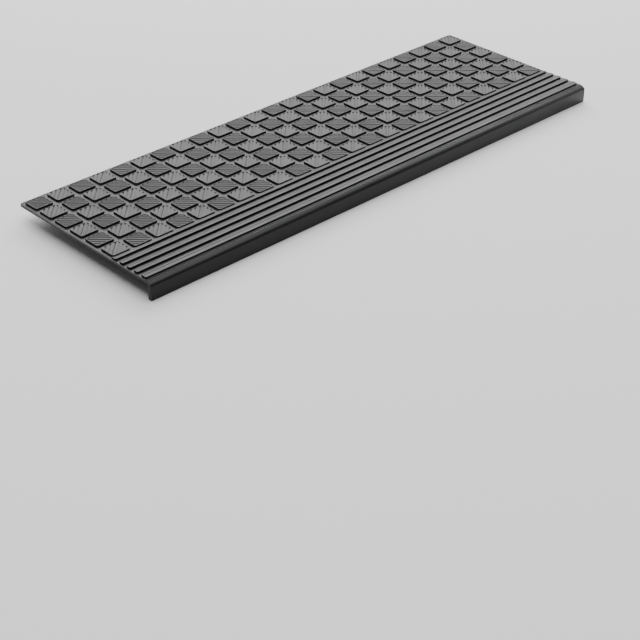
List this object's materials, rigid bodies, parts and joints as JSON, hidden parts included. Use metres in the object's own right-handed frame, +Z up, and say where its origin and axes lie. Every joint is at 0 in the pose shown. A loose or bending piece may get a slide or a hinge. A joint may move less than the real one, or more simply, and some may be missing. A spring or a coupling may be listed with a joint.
{
  "type": "anti slip stair tread mat",
  "caption": "Black moulded rubber stair tread mat with diagonally ribbed square pads, long bars behind the front edge, and a turned-down lip over the step's nosing.",
  "frame": {"origin": "middle of the flat underside that lies on the step", "axes": "+X along the step, +Y towards the back of the step, +Z up; the lip hangs below the origin at the -Y edge"},
  "size_m": [0.75, 0.25, 0.025],
  "materials": {
    "rubber": "satin"
  },
  "bodies": {
    "root": {"tread_mat": "rubber"}
  },
  "joints": []
}
